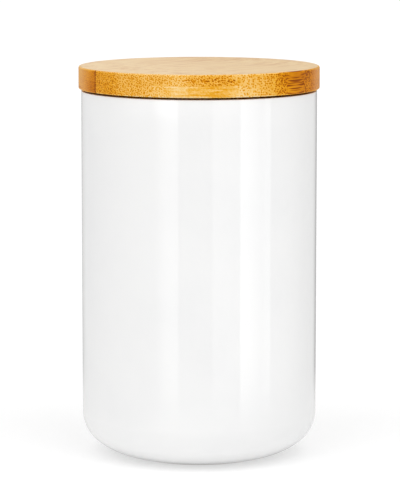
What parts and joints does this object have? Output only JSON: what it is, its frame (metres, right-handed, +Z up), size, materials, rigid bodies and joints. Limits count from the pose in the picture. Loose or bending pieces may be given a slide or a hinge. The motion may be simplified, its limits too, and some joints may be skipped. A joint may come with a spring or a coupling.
{
  "type": "storage canister",
  "caption": "Straight glazed ceramic jar with a rounded base and foot ring, closed by a push-in bamboo lid turned from glued slats with a finned silicone seal.",
  "frame": {"origin": "centre of the foot ring, on the surface that the jar stands on", "axes": "+Z up along the jar's axis, out of its mouth; -Y towards the front as pictured; the lid's grain at rest lies 45 degrees from +X towards +Y"},
  "size_m": [0.1022, 0.1022, 0.1664],
  "materials": {
    "glazed_porcelain": "gloss",
    "silicone": "satin",
    "bamboo": "satin"
  },
  "bodies": {
    "jar": {"jar": "glazed_porcelain"},
    "seal": {"seal_ring": "silicone"},
    "lid": {"lid_top_slat_1": "bamboo", "lid_top_slat_2": "bamboo", "lid_top_slat_3": "bamboo", "lid_top_slat_4": "bamboo", "lid_top_slat_5": "bamboo", "lid_under_slat_1": "bamboo", "lid_under_slat_2": "bamboo", "lid_under_slat_3": "bamboo", "lid_under_slat_4": "bamboo", "lid_under_slat_5": "bamboo", "plug_upper_slat_1": "bamboo", "plug_upper_slat_2": "bamboo", "plug_upper_slat_3": "bamboo", "plug_upper_slat_4": "bamboo", "plug_lower_slat_1": "bamboo", "plug_lower_slat_2": "bamboo", "plug_lower_slat_3": "bamboo", "plug_lower_slat_4": "bamboo"}
  },
  "joints": [
    {"name": "lid_lift", "type": "slide", "parent": "jar", "child": "seal", "axis": [0, 0, 1], "range_m": [0, 0.08]},
    {"name": "lid_turn", "type": "hinge", "parent": "seal", "child": "lid", "pos_m": [0, 0, 0.1524], "axis": [0, 0, 1], "continuous": true}
  ]
}
